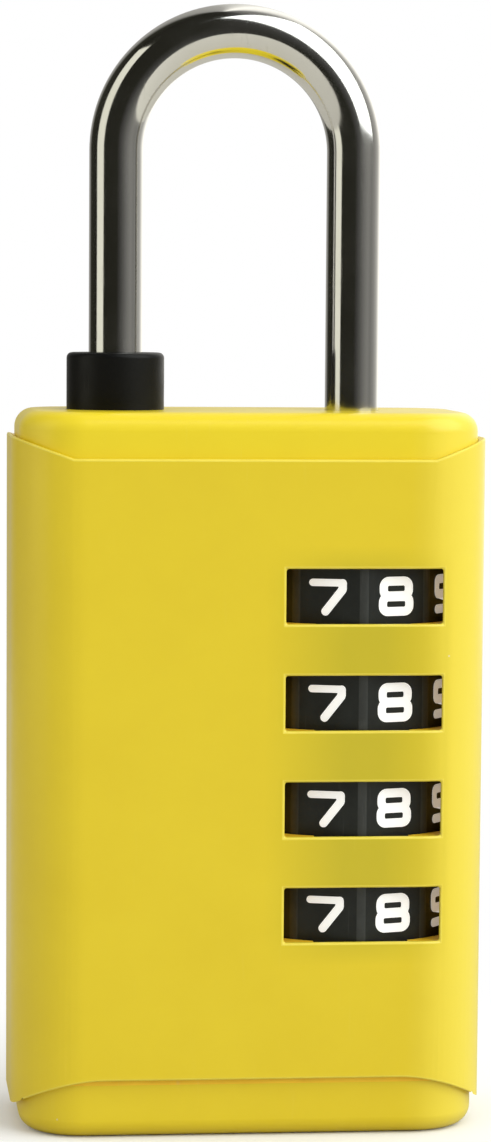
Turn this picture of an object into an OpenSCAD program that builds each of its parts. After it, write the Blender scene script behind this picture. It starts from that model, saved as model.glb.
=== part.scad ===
// Four-dial combination padlock for luggage.
// Origin: centre of the flat underside. Width along X, thickness along Y with the dial
// windows on the -Y face, height along Z. Shown locked, with the opening combination set.

/* [Body] */
// Overall width of the body
body_w = 30; // [26:0.5:44]
// Corner radius of the body seen from above
body_corner_r = 4.5; // [3:0.1:5.5]
// Solid metal left above the top locking fin when the shackle is up
head_wall = 0.95; // [0.6:0.05:10]
// Rounding of the top and bottom rims
rim_r = 1.2; // [0.3:0.05:1.3]

/* [Outer sleeve] */
// Wall of the outer sleeve
sleeve_wall = 0.45; // [0.4:0.05:1.2]
// Distance from the top of the body down to the sleeve's front edge
sleeve_top_drop = 2.85; // [2:0.05:2.9]
// How much higher the sleeve's top edge stands at the sides than in front
sleeve_top_rise = 1.3; // [0.2:0.1:1.6]
// Width of each sloping corner of the sleeve's top edge
sleeve_slope_w = 3.7; // [2:0.1:6]
// Height of the sleeve's bottom edge in front
sleeve_foot = 3.74; // [3.5:0.05:5]
// Width of each curved corner of the sleeve's bottom edge
sleeve_scoop_w = 5.7; // [3:0.1:7]
// Radius of those curved corners
sleeve_scoop_r = 9; // [7.1:0.1:12]
// Gap between the sleeve and the frame inside it
sleeve_fit = 0.03; // [0.01:0.01:0.1]

/* [Dials] */
// Distance from one dial to the next, which is also the lift of the shackle
dial_pitch = 6.68; // [6.6:0.02:9]
// Diameter of a dial over its ridges
dial_d = 14.1; // [11.4:0.1:18]
// Height of a dial
dial_h = 4.6; // [3.8:0.1:4.8]
// Depth of the flats between the ridges
dial_flat = 0.22; // [0.05:0.01:0.3]
// Bevel on both rims of a dial
dial_bevel = 0.25; // [0.1:0.05:0.4]
// Width of each window
window_w = 9.9; // [7:0.1:10.4]
// Height of each window
window_h = 3.45; // [2.5:0.05:4.4]

/* [Shackle] */
// Diameter of the shackle bar
shackle_d = 3.4; // [2.8:0.1:4.2]
// Height of the middle of the shackle's arch above the body
shackle_rise = 16.3; // [10:0.1:40]
// Distance from the body's left side to the middle of the free leg
toe_inset = 6.75; // [5.5:0.05:9]
// How far each locking fin stands out from the captive leg
fin_reach = 1.25; // [0.8:0.05:1.4]
// Width of each locking fin
fin_w = 1.4; // [1:0.1:2]

/* [Collar of the free leg] */
// Wall of the collar around the free leg
collar_wall = 1.25; // [0.9:0.05:2]
// Height of the collar above the body
collar_h = 3.6; // [1:0.1:3.6]
// Wall of the collar's stem inside the top cap
stem_wall = 0.65; // [0.4:0.05:0.8]

/* [Clutches and springs] */
// Wall of each clutch around the fin's groove
clutch_wall = 0.8; // [0.6:0.05:1]
// Thickness of each clutch's locking web
web_h = 1.4; // [1:0.1:1.6]
// Length of the spring that holds the clutch stack up
reset_spring_l = 4.83; // [4.4:0.01:14]
// Wire of that spring
reset_wire_d = 0.56; // [0.4:0.02:0.7]
// Travel of the clutch stack that frees the dials for a new combination
reset_travel = 1.2; // [1.1:0.1:1.2]
// Wire of the shackle's lifting spring
lift_wire_d = 0.4; // [0.3:0.05:0.5]
// Thickness of the leaf spring that clicks the dials
leaf_t = 0.25; // [0.15:0.05:0.3]
// Diameter of the pins that hold both caps
pin_d = 1.2; // [0.8:0.1:1.4]

/* [Hidden] */
$fn = 64;
EPS = 0.01;

// Clearances
turn_gap = 0.1;        // round a part that turns or slides in a bore
end_gap = 0.1;         // above and below a dial
pocket_gap = 0.15;     // round a dial in its pocket
press_gap = 0.02;      // round a part that is pressed in
tooth_gap = 0.15;      // beside and beyond each clutch tooth
stack_gap = 0.18;      // between neighbouring clutches
stop_gap = 0.3;        // between a fin and the next web
toe_gap = 0.15;        // round the free leg
toe_clear = 0.28;      // above the collar when the free leg is out
toe_room = 0.9;        // under the free leg when it is in
spring_gap = 0.35;     // round both springs
thrust_gap = 0.5;      // round the captive leg in the thrust washer
leaf_clear = 0.08;     // between the leaf spring's fingers and the ridges of the dials
leaf_gap = 0.05;       // round the leaf spring's plate

// Dials, which NODES names one by one
dials = 4;
dial_digits = 10;
dial_step = 360 / dial_digits;
dial_r = dial_d / 2;
flat_r = dial_r - dial_flat;
pocket_r = dial_r + pocket_gap;
pocket_h = dial_h + 2 * end_gap;

// Captive leg, its fins and the clutches they lock, with heights from a dial's middle
heel_r = shackle_d / 2;
fin_r = heel_r + fin_reach;
bore_r = heel_r + turn_gap;
groove_r = fin_r + 2 * turn_gap;
clutch_r = groove_r + clutch_wall;
clutch_h = dial_pitch - stack_gap;
tooth_free = 0.2;      // how far the teeth clear the dial when the stack is down
tooth_reach = 0.55;
tooth_w = 1.1;
tooth_h = reset_travel - tooth_free;
tooth_r = clutch_r + tooth_reach;
dial_bore_r = tooth_r + tooth_gap;
web_base = clutch_h / 2 - web_h;
fin_base = clutch_h / 2 + stop_gap - dial_pitch;
fin_top = web_base - reset_travel - 2 * turn_gap;
stack_r = clutch_r + turn_gap;

// Body, built up from the bottom cap
top_cap_h = 3;
bottom_cap_h = 3.4;
reset_ledge = 2.2;     // frame left under the reset spring
thrust_t = 0.4;
reset_seat_z = bottom_cap_h + reset_ledge;
thrust_top = reset_seat_z + reset_spring_l + thrust_t;
stack_base = thrust_top + turn_gap / 2;
low_dial_z = stack_base + clutch_h / 2;
dial_z = [for (i = [0 : dials - 1]) low_dial_z + (dials - 1 - i) * dial_pitch];
top_dial_z = dial_z[0];
stack_top = top_dial_z + clutch_h / 2 + end_gap;
fin_room_top = top_dial_z + dial_pitch + fin_top + stop_gap;
frame_top = fin_room_top + head_wall;
body_h = frame_top + top_cap_h;
body_t = dial_d + 2 * (turn_gap + sleeve_wall);
inner_w = body_w - 2 * (sleeve_wall + sleeve_fit);
inner_t = body_t - 2 * (sleeve_wall + sleeve_fit);
inner_r = body_corner_r - sleeve_wall - sleeve_fit;
side_wall = 0.44;      // frame beside the dials
window_gap = 0.05;     // frame window above and below the sleeve window
window_relief = 0.6;   // frame window beside the sleeve window
window_floor = 1.5;    // from the windows' back to the plane y = 0
relief_w = 6;          // opening at full dial height through the frame's faces
heel_x = body_w / 2 - pocket_r - side_wall - sleeve_wall - sleeve_fit;
sleeve_top = body_h - sleeve_top_drop;
scoop_z = sleeve_foot - sleeve_scoop_r;
sleeve_base = scoop_z + sqrt(pow(sleeve_scoop_r, 2) - pow(sleeve_scoop_w, 2));

// Free leg
arch_z = body_h + shackle_rise;
toe_x = toe_inset - body_w / 2;
leg_span = heel_x - toe_x;
toe_end = body_h + collar_h + toe_clear - dial_pitch;
toe_pocket_z = toe_end - toe_room;
leg_bevel = 0.4;
toe_bore_r = heel_r + toe_gap;
collar_r = toe_bore_r + collar_wall;
stem_r = toe_bore_r + stem_wall;
stem_gap = 0.2;        // under the collar's stem
stem_l = top_cap_h - stem_gap;
collar_round = 0.3;
mouth_flare = 0.5;

// Springs and washers under the captive leg
shoulder_z = low_dial_z + fin_base;
shoulder_w = 0.75;
tail_r = heel_r - shoulder_w;
tail_l = 2.8;
washer_t = 0.3;
lift_seat_z = 1.6;
lift_coil_r = tail_r + turn_gap + lift_wire_d;
lift_bore_r = lift_coil_r + lift_wire_d / 2 + spring_gap;
lift_turns = 9;
reset_coil_r = clutch_r - spring_gap - reset_wire_d / 2;
reset_turns = 4;

// Leaf spring beside the dials
leaf_tip_x = heel_x - dial_r - leaf_clear;
leaf_bow_r = 2.6;
leaf_half = 1.9;       // half the height of a finger
leaf_sink = 0.1;       // how far a finger's ends go into the plate
leaf_bow_w = leaf_bow_r - sqrt(pow(leaf_bow_r, 2) - pow(leaf_half, 2));
leaf_back_x = leaf_tip_x - leaf_bow_w - leaf_sink - leaf_t;
leaf_w = 5.2;
finger_w = 2;
finger_slit = 0.15;    // between a finger and the plate beside it
finger_root = 0.25;    // height of each joint of a finger with the plate
finger_room = 0.3;     // round a finger in the frame
leaf_over = 3.1;
leaf_len = (dials - 1) * dial_pitch + 2 * leaf_over;

// Caps: a tongue at each side goes into the frame and takes a cross pin
tongue_w = 2.2;
tongue_t = 5;
tongue_h = 2;
tongue_inset = 2.15;
tongue_x = inner_w / 2 - tongue_inset;
pin_sink = 0.85;       // from each end of a pin to the frame's face
pin_l = inner_t - 2 * pin_sink;
top_pin_z = frame_top - tongue_h / 2;
bottom_pin_z = bottom_cap_h + tongue_h / 2;

// Pegs that line up the two halves of the frame, and hollows that lighten them
peg_r = 0.8;
peg_l = 2;
peg_wall = 0.6;
hollow_wall = 1.5;
hollow_rib = 1.4;
hollow_step = 8.2;     // greatest height of a hollow and its rib
peg_z = [bottom_cap_h + peg_wall + peg_r, min(toe_pocket_z, frame_top) - peg_wall - peg_r];
hollow_left = hollow_wall - inner_w / 2;
hollow_right = leaf_back_x - leaf_gap - hollow_rib;
hollow_low = peg_z[0] + peg_r + hollow_rib;
hollow_high = peg_z[1] - peg_r - hollow_rib;
hollow_rows = ceil((hollow_high - hollow_low + hollow_rib) / hollow_step);
hollow_w = (hollow_right - hollow_left - hollow_rib) / 2;
hollow_h = (hollow_high - hollow_low + hollow_rib) / hollow_rows - hollow_rib;
peg_x = (hollow_left + hollow_right) / 2;

PAINT = "gold";
CHROME = "silver";
STEEL = "lightgray";
BRASS = "goldenrod";
BLACK = "dimgray";

// ---- Shared shapes ----

// Rounded rectangle, w by t with corner radius r
module plan(w, t, r) {
    square([w - 2 * r, t], center = true);
    square([w, t - 2 * r], center = true);
    for (x = [-1, 1], y = [-1, 1])
        translate([x * (w / 2 - r), y * (t / 2 - r)]) circle(r);
}

// Half of a slab's section, rounded at its outer top edge
module rim_profile(reach, h, f) {
    square([reach, h - f]);
    square([reach - f, h]);
    translate([reach - f, h - f]) circle(f);
}

// Slab with corner radius r in plan and a top rim rounded to f
module rimmed_slab(w, t, r, h, f) {
    translate([-(w - 2 * r) / 2, 0, 0]) rotate([90, 0, 90])
        linear_extrude(w - 2 * r) {
            rim_profile(t / 2, h, f);
            mirror([1, 0]) rim_profile(t / 2, h, f);
        }
    translate([0, (t - 2 * r) / 2, 0]) rotate([90, 0, 0])
        linear_extrude(t - 2 * r) {
            rim_profile(w / 2, h, f);
            mirror([1, 0]) rim_profile(w / 2, h, f);
        }
    for (x = [-1, 1], y = [-1, 1])
        translate([x * (w / 2 - r), y * (t / 2 - r), 0])
            rotate_extrude() rim_profile(r, h, f);
}

// Flat ring
module ring(r_out, r_in, h) {
    difference() {
        cylinder(r = r_out, h = h);
        translate([0, 0, -EPS]) cylinder(r = r_in, h = h + 2 * EPS);
    }
}

// Coil of round wire, standing on z = 0
module coil(coil_r, wire_d, h, turns, per_turn = 14, sides = 6) {
    steps = turns * per_turn;
    rise = h - wire_d;
    wire_r = wire_d / 2;
    points = [for (i = [0 : steps], j = [0 : sides - 1])
        let (a = i * 360 / per_turn, b = j * 360 / sides, r = coil_r + wire_r * cos(b))
        [r * cos(a), r * sin(a), wire_r + rise * i / steps + wire_r * sin(b)]];
    walls = [for (i = [0 : steps - 1], j = [0 : sides - 1])
        let (k = (j + 1) % sides)
        [i * sides + j, (i + 1) * sides + j, (i + 1) * sides + k, i * sides + k]];
    start = [for (j = [0 : sides - 1]) j];
    finish = [for (j = [0 : sides - 1]) steps * sides + sides - 1 - j];
    polyhedron(points, concat(walls, [start, finish]));
}

// Cross pins through the tongues of one cap
module cross_pins(z, d, l) {
    for (x = [-tongue_x, tongue_x])
        translate([x, l / 2, z]) rotate([90, 0, 0]) cylinder(d = d, h = l);
}

// Tongues of one cap, h tall from z = 0, grown by a gap on each side
module tongues(h, gap = 0) {
    for (x = [-tongue_x, tongue_x])
        translate([x - tongue_w / 2 - gap, -tongue_t / 2 - gap, 0])
            cube([tongue_w + 2 * gap, tongue_t + 2 * gap, h]);
}

// ---- Outer sleeve ----

// Front view of what is cut away above and below the sleeve
module sleeve_ends() {
    half = body_w / 2;
    slope_x = half - sleeve_slope_w;
    over = sleeve_top + sleeve_top_rise;
    polygon([[-slope_x, sleeve_top], [slope_x, sleeve_top], [half, over],
             [half, body_h], [-half, body_h], [-half, over]]);
    scoop_x = half - sleeve_scoop_w;
    translate([-scoop_x, 0]) square([2 * scoop_x, sleeve_foot]);
    for (x = [-scoop_x, scoop_x])
        translate([x, scoop_z]) circle(sleeve_scoop_r);
}

module windows(side, gap, depth) {
    for (z = dial_z)
        translate([heel_x - window_w / 2 - side, -body_t / 2 - EPS, z - window_h / 2 - gap])
            cube([window_w + 2 * side, depth, window_h + 2 * gap]);
}

module outer_sleeve() {
    color(PAINT) difference() {
        translate([0, 0, sleeve_base])
            linear_extrude(sleeve_top + sleeve_top_rise - sleeve_base) difference() {
                plan(body_w, body_t, body_corner_r);
                plan(body_w - 2 * sleeve_wall, body_t - 2 * sleeve_wall,
                     body_corner_r - sleeve_wall);
            }
        rotate([90, 0, 0]) linear_extrude(2 * body_t, center = true) sleeve_ends();
        windows(0, 0, sleeve_wall + 2 * turn_gap);
    }
}

// ---- Frame: two castings that meet on the plane y = 0 ----

module frame_solid() {
    translate([0, 0, bottom_cap_h]) linear_extrude(frame_top - bottom_cap_h)
        plan(inner_w, inner_t, inner_r);
}

// Room for the dials, the clutch stack, the captive leg and its springs
module lock_room() {
    for (z = dial_z) translate([heel_x, 0, z - pocket_h / 2]) {
        cylinder(r = pocket_r, h = pocket_h);
        translate([-relief_w / 2, -body_t / 2, 0]) cube([relief_w, body_t, pocket_h]);
    }
    translate([heel_x, 0, 0]) {
        translate([0, 0, reset_seat_z]) cylinder(r = stack_r, h = stack_top - reset_seat_z);
        translate([0, 0, stack_top - EPS])
            cylinder(r = groove_r + turn_gap, h = fin_room_top - stack_top + EPS);
        translate([0, 0, bottom_cap_h - EPS])
            cylinder(r = lift_bore_r, h = reset_seat_z - bottom_cap_h + 2 * EPS);
        translate([0, 0, fin_room_top - EPS])
            cylinder(r = bore_r, h = frame_top - fin_room_top + 2 * EPS);
    }
    if (toe_pocket_z < frame_top)
        translate([toe_x, 0, toe_pocket_z])
            cylinder(r = toe_bore_r, h = frame_top - toe_pocket_z + EPS);
}

// Slot for the leaf spring, and room for its fingers
module leaf_room() {
    translate([leaf_back_x - leaf_gap, -leaf_w / 2 - leaf_gap,
               low_dial_z - leaf_over - leaf_gap])
        cube([leaf_t + 2 * leaf_gap, leaf_w + 2 * leaf_gap, leaf_len + 2 * leaf_gap]);
    for (z = dial_z)
        translate([leaf_back_x - leaf_gap, -finger_w / 2 - finger_room,
                   z - leaf_half - finger_room])
            cube([heel_x - dial_r + leaf_bow_w - leaf_back_x, finger_w + 2 * finger_room,
                  2 * (leaf_half + finger_room)]);
}

module hollows() {
    depth = inner_t - 2 * hollow_wall;
    for (column = [0, 1], row = [0 : hollow_rows - 1])
        translate([hollow_left + column * (hollow_w + hollow_rib), -depth / 2,
                   hollow_low + row * (hollow_h + hollow_rib)])
            cube([hollow_w, depth, hollow_h]);
}

module frame_cuts() {
    lock_room();
    leaf_room();
    hollows();
    translate([0, 0, bottom_cap_h - EPS]) tongues(tongue_h + turn_gap, turn_gap / 2);
    translate([0, 0, frame_top - tongue_h - turn_gap])
        tongues(tongue_h + turn_gap + EPS, turn_gap / 2);
    cross_pins(top_pin_z, pin_d + 2 * press_gap, body_t);
    cross_pins(bottom_pin_z, pin_d + 2 * press_gap, body_t);
}

module pegs(r, l) {
    for (z = peg_z)
        translate([peg_x, EPS, z]) rotate([90, 0, 0]) cylinder(r = r, h = l + EPS);
}

module front_frame() {
    color(PAINT) difference() {
        intersection() {
            frame_solid();
            translate([-body_w, -body_t, 0]) cube([2 * body_w, body_t, body_h]);
        }
        frame_cuts();
        windows(window_relief, window_gap, body_t / 2 - window_floor);
        pegs(peg_r + turn_gap / 2, peg_l + turn_gap);
    }
}

module rear_frame() {
    color(PAINT) {
        difference() {
            intersection() {
                frame_solid();
                translate([-body_w, 0, 0]) cube([2 * body_w, body_t, body_h]);
            }
            frame_cuts();
        }
        pegs(peg_r, peg_l);
    }
}

// ---- Caps ----

module top_cap() {
    color(PAINT) difference() {
        union() {
            translate([0, 0, frame_top])
                rimmed_slab(inner_w, inner_t, inner_r, top_cap_h, rim_r);
            translate([0, 0, frame_top - tongue_h]) tongues(tongue_h + EPS);
        }
        translate([heel_x, 0, frame_top - EPS]) cylinder(r = bore_r, h = top_cap_h + 2 * EPS);
        translate([toe_x, 0, frame_top - EPS])
            cylinder(r = stem_r + press_gap, h = top_cap_h + 2 * EPS);
        cross_pins(top_pin_z, pin_d + 2 * press_gap, body_t);
    }
}

module bottom_cap() {
    color(PAINT) difference() {
        union() {
            translate([0, 0, bottom_cap_h]) mirror([0, 0, 1])
                rimmed_slab(inner_w, inner_t, inner_r, bottom_cap_h, rim_r);
            translate([0, 0, bottom_cap_h - EPS]) tongues(tongue_h + EPS);
        }
        translate([heel_x, 0, lift_seat_z]) cylinder(r = lift_bore_r, h = bottom_cap_h);
        cross_pins(bottom_pin_z, pin_d + 2 * press_gap, body_t);
    }
}

module top_cap_pins() {
    color(STEEL) cross_pins(top_pin_z, pin_d, pin_l);
}

module bottom_cap_pins() {
    color(STEEL) cross_pins(bottom_pin_z, pin_d, pin_l);
}

// ---- Collar of the free leg: rim, flared mouth, and a stem pressed into the top cap ----

module toe_collar() {
    color(BLACK) translate([toe_x, 0, body_h]) difference() {
        rotate_extrude() {
            rim_profile(collar_r, collar_h, collar_round);
            translate([0, -stem_l]) square([stem_r, stem_l + EPS]);
        }
        translate([0, 0, -stem_l - EPS])
            cylinder(r = toe_bore_r, h = stem_l + collar_h + 2 * EPS);
        translate([0, 0, collar_h - mouth_flare])
            cylinder(r1 = toe_bore_r, r2 = toe_bore_r + mouth_flare + EPS,
                     h = mouth_flare + EPS);
    }
}

// ---- Leaf spring with one bowed finger for each dial ----

module bow() {
    translate([leaf_tip_x - leaf_bow_r, 0]) intersection() {
        difference() {
            circle(leaf_bow_r);
            circle(leaf_bow_r - leaf_t);
        }
        translate([0, -leaf_half]) square([2 * leaf_bow_r, 2 * leaf_half]);
    }
}

module detent_spring() {
    color(STEEL) {
        difference() {
            translate([leaf_back_x, -leaf_w / 2, low_dial_z - leaf_over])
                cube([leaf_t, leaf_w, leaf_len]);
            for (z = dial_z)
                translate([leaf_back_x - EPS, -finger_w / 2 - finger_slit,
                           z - leaf_half + finger_root])
                    cube([leaf_t + 2 * EPS, finger_w + 2 * finger_slit,
                          2 * (leaf_half - finger_root)]);
        }
        for (z = dial_z)
            translate([0, 0, z]) rotate([90, 0, 0])
                linear_extrude(finger_w, center = true) bow();
    }
}

// ---- Shackle: free leg, arch, and captive leg with one locking fin per dial ----

module fin() {
    translate([0, 0, fin_base]) intersection() {
        cylinder(r = fin_r, h = fin_top - fin_base);
        translate([-fin_r, -fin_w / 2, 0]) cube([fin_r, fin_w, fin_top - fin_base]);
    }
}

module shackle() {
    color(CHROME) {
        translate([toe_x, 0, toe_end]) rotate_extrude()
            polygon([[0, 0], [heel_r - leg_bevel, 0], [heel_r, leg_bevel],
                     [heel_r, arch_z - toe_end], [0, arch_z - toe_end]]);
        translate([toe_x + leg_span / 2, 0, arch_z]) rotate([90, 0, 0])
            rotate_extrude(angle = 180) translate([leg_span / 2, 0]) circle(heel_r);
        translate([heel_x, 0, shoulder_z]) cylinder(r = heel_r, h = arch_z - shoulder_z);
        translate([heel_x, 0, shoulder_z - tail_l]) cylinder(r = tail_r, h = tail_l + EPS);
        for (z = dial_z) translate([heel_x, 0, z]) fin();
    }
}

module lift_washer() {
    color(STEEL) translate([heel_x, 0, shoulder_z - washer_t])
        ring(heel_r, tail_r + turn_gap / 2, washer_t);
}

module lift_spring() {
    color(STEEL) translate([heel_x, 0, lift_seat_z])
        coil(lift_coil_r, lift_wire_d, shoulder_z - washer_t - lift_seat_z, lift_turns);
}

// ---- Clutch stack ----

module thrust_washer() {
    color(STEEL) translate([heel_x, 0, thrust_top - thrust_t])
        ring(clutch_r, heel_r + thrust_gap, thrust_t);
}

module reset_spring() {
    color(STEEL) translate([heel_x, 0, reset_seat_z])
        coil(reset_coil_r, reset_wire_d, reset_spring_l, reset_turns, 20);
}

// Radial bars that reach from the axis to radius r, one per digit
module spokes(r, w, h) {
    intersection() {
        cylinder(r = r, h = h);
        for (i = [0 : dial_digits - 1])
            rotate(i * dial_step) translate([0, -w / 2, 0]) cube([2 * r, w, h]);
    }
}

// Cup with a slotted web on top: a fin turns freely in the cup and passes the slot only
// when the dial stands at its digit. The teeth leave the dial when the stack is pushed down.
module clutch(index) {
    color(BRASS) translate([heel_x, 0, dial_z[index]]) difference() {
        union() {
            translate([0, 0, -clutch_h / 2]) cylinder(r = clutch_r, h = clutch_h);
            translate([0, 0, dial_h / 2 - tooth_h])
                rotate(dial_step / 2) spokes(tooth_r, tooth_w, tooth_h - 2 * EPS);
        }
        translate([0, 0, -clutch_h / 2 - EPS]) {
            cylinder(r = bore_r, h = clutch_h + 2 * EPS);
            cylinder(r = groove_r, h = clutch_h - web_h + EPS);
            translate([-fin_r - tooth_gap, -fin_w / 2 - tooth_gap, 0])
                cube([fin_r + tooth_gap, fin_w + 2 * tooth_gap, clutch_h + 2 * EPS]);
        }
    }
}

module dial(index) {
    low = -dial_h / 2;
    color(BLACK) translate([heel_x, 0, dial_z[index]]) difference() {
        intersection() {
            rotate_extrude() polygon([[0, low], [dial_r - dial_bevel, low],
                [dial_r, low + dial_bevel], [dial_r, -low - dial_bevel],
                [dial_r - dial_bevel, -low], [0, -low]]);
            translate([0, 0, low]) rotate(-90)
                cylinder(r = flat_r / cos(dial_step / 2), h = dial_h, $fn = dial_digits);
        }
        translate([0, 0, low - EPS]) {
            cylinder(r = clutch_r + turn_gap, h = dial_h + 2 * EPS);
            cylinder(r = dial_bore_r, h = dial_h - tooth_h + EPS);
            rotate(dial_step / 2)
                spokes(dial_bore_r, tooth_w + 2 * tooth_gap, dial_h + 2 * EPS);
        }
    }
}

module dial_1() { dial(0); }
module dial_2() { dial(1); }
module dial_3() { dial(2); }
module dial_4() { dial(3); }
module clutch_1() { clutch(0); }
module clutch_2() { clutch(1); }
module clutch_3() { clutch(2); }
module clutch_4() { clutch(3); }

outer_sleeve();
front_frame();
rear_frame();
top_cap();
bottom_cap();
top_cap_pins();
bottom_cap_pins();
toe_collar();
detent_spring();
shackle();
lift_washer();
lift_spring();
thrust_washer();
reset_spring();
dial_1();
dial_2();
dial_3();
dial_4();
clutch_1();
clutch_2();
clutch_3();
clutch_4();
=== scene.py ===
"""Looks of a four-dial luggage padlock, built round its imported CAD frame.

Lengths are in metres, in the frame's own axes: +X along the body's width towards the captive
leg of the shackle, +Y from the windowed front to the back, +Z up towards the shackle.
"""

import logging
import math
from collections.abc import Callable, Iterable, Sequence
from dataclasses import dataclass, field, replace
from enum import Enum
from functools import partial

import bpy
from mathutils import Matrix, Vector


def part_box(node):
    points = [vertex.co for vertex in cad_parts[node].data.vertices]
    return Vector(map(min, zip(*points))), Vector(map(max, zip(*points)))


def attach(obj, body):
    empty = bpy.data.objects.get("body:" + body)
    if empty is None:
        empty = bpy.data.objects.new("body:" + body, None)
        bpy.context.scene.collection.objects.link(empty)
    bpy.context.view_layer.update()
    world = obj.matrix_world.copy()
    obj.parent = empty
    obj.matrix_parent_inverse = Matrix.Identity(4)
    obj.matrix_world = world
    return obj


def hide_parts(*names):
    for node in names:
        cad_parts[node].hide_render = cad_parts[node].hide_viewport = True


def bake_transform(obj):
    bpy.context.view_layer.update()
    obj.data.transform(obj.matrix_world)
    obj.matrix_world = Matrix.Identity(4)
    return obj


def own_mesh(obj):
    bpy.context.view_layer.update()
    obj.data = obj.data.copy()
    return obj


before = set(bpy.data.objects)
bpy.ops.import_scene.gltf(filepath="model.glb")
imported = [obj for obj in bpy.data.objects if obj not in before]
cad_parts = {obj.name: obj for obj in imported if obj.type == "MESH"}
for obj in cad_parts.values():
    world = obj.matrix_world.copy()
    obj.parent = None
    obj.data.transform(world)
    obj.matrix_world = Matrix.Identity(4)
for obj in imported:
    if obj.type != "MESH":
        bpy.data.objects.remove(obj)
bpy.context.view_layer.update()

LOG = logging.getLogger("padlock")
MM = 0.001

# Places closer than NEAR count as the same; points closer than DOUBLED are merged.
NEAR = 0.02 * MM
DOUBLED = 0.001 * MM

# Half the depth of a tool that cuts through the body from front to back.
CLEAR = 20 * MM

# The angle in degrees over which an edge counts as sharp.
SHARP = 35.0
WHITE = (1.0, 1.0, 1.0, 1.0)

# Tests that take the two ends of an edge, or the centre and the normal of a face.
Pick = Callable[[Vector, Vector], bool]
Piece = bpy.types.Object
Socket = bpy.types.NodeSocket
Color = tuple[float, float, float]


class Blend(Enum):
    """How a tool's solid acts on a piece."""

    CUT = "DIFFERENCE"
    ADD = "UNION"


class SelectBy(Enum):
    """What an edit-mode step works on."""

    EDGES = (False, True, False)
    FACES = (False, False, True)


# ---------------------------------------------------------------------------- bench


def activate(piece: Piece) -> None:
    """Deselects everything and makes one object selected and active."""
    bpy.ops.object.select_all(action="DESELECT")
    piece.select_set(True)
    bpy.context.view_layer.objects.active = piece


def link(piece: Piece) -> Piece:
    """Puts a new object in the scene and returns it."""
    bpy.context.scene.collection.objects.link(piece)
    return piece


def rename(piece: Piece, name: str) -> Piece:
    """Gives an object and its mesh the same name, and returns it."""
    piece.name = name
    piece.data.name = name
    return piece


def settle(piece: Piece, name: str) -> Piece:
    """Names a piece and moves its place, turn and scale into its mesh."""
    activate(rename(piece, name))
    bpy.ops.object.transform_apply(location=True, rotation=True, scale=True)
    return piece


def middle(node: str) -> tuple[float, float, float]:
    """Gives the centre of a CAD node's box."""
    return tuple((low + high) / 2 for low, high in zip(*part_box(node)))


def from_above(azimuth: float, elevation: float) -> Vector:
    """Gives the direction at a bearing from the front towards +X and a height, in degrees."""
    turn, rise = math.radians(azimuth), math.radians(elevation)
    flat = math.cos(rise)
    return Vector((math.sin(turn) * flat, -math.cos(turn) * flat, math.sin(rise)))


def placed(axes: Sequence[Vector], spot: Vector) -> Matrix:
    """Gives the matrix that turns X, Y and Z to three axes and moves the origin to a spot."""
    place = Matrix(axes).transposed().to_4x4()
    place.translation = spot
    return place


def add_block(name: str, low: Sequence[float], high: Sequence[float]) -> Piece:
    """Adds a block between two corners.

    Args:
        name: The new object's name.
        low: The lowest corner.
        high: The highest corner.

    Returns:
        The block.
    """
    low, high = Vector(low), Vector(high)
    bpy.ops.object.select_all(action="DESELECT")
    bpy.ops.mesh.primitive_cube_add(size=1, location=(low + high) / 2, scale=high - low)
    return settle(bpy.context.object, name)


def add_rod(
    name: str, foot: Sequence[float], radius: float, length: float, sides: int = 96
) -> Piece:
    """Adds an upright round bar.

    Args:
        name: The new object's name.
        foot: The middle of its lower end.
        radius: The radius over its corners.
        length: Its height.
        sides: The number of its sides.

    Returns:
        The bar.
    """
    bpy.ops.object.select_all(action="DESELECT")
    bpy.ops.mesh.primitive_cylinder_add(
        vertices=sides,
        radius=radius,
        depth=length,
        end_fill_type="NGON",
        location=Vector(foot) + Vector((0, 0, length / 2)),
    )
    return settle(bpy.context.object, name)


def add_pin(name: str, low: Sequence[float], high: Sequence[float]) -> Piece:
    """Adds a round bar along Y that fills a box.

    Args:
        name: The new object's name.
        low: The box's lowest corner.
        high: The box's highest corner.

    Returns:
        The bar.
    """
    low, high = Vector(low), Vector(high)
    bpy.ops.object.select_all(action="DESELECT")
    bpy.ops.mesh.primitive_cylinder_add(
        vertices=48,
        radius=(high.z - low.z) / 2,
        depth=high.y - low.y,
        location=(low + high) / 2,
        rotation=(math.pi / 2, 0, 0),
    )
    return settle(bpy.context.object, name)


def deselect(mesh: bpy.types.Mesh) -> None:
    """Deselects every point, edge and face of a mesh."""
    for part in (mesh.vertices, mesh.edges, mesh.polygons):
        part.foreach_set("select", [False] * len(part))


def select_edges(piece: Piece, pick: Pick) -> None:
    """Selects the edges whose two ends pass a test, and nothing else."""
    mesh = piece.data
    deselect(mesh)
    for edge in mesh.edges:
        edge.select = pick(*(mesh.vertices[i].co for i in edge.vertices))


def select_faces(piece: Piece, pick: Pick) -> None:
    """Selects the faces whose centre and normal pass a test, and nothing else."""
    deselect(piece.data)
    for face in piece.data.polygons:
        face.select = pick(face.center, face.normal)


def edit(piece: Piece, by: SelectBy, step: Callable[[], object]) -> None:
    """Runs one edit-mode step on what is selected in a piece.

    Args:
        piece: The piece to edit.
        by: Whether edges or faces are selected.
        step: The operator to run.
    """
    activate(piece)
    bpy.context.tool_settings.mesh_select_mode = by.value
    bpy.ops.object.mode_set(mode="EDIT")
    step()
    bpy.ops.object.mode_set(mode="OBJECT")


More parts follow.
